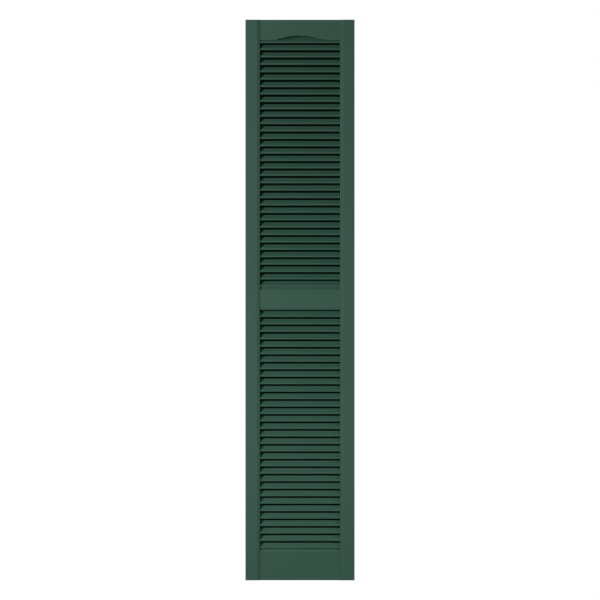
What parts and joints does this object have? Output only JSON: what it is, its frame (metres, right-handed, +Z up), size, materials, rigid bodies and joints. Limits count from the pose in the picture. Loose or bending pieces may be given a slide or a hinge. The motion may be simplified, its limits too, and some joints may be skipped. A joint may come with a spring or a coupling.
{
  "type": "louvred exterior shutter",
  "caption": "Tall exterior shutter moulded in one piece: louvres between two stiles, an arched top rail, a plain middle rail and bottom rail, and a hollow ribbed back that sits on a wall",
  "frame": {"origin": "middle of the panel's bottom edge, in the plane of the back rim that meets the wall", "axes": "X across the width, -Y towards the viewer out of the face, +Y into the wall, +Z up"},
  "size_m": [0.3714, 0.026, 1.905],
  "materials": {
    "green_plastic": "matte"
  },
  "bodies": {
    "root": {"shutter_panel": "green_plastic"}
  },
  "joints": []
}
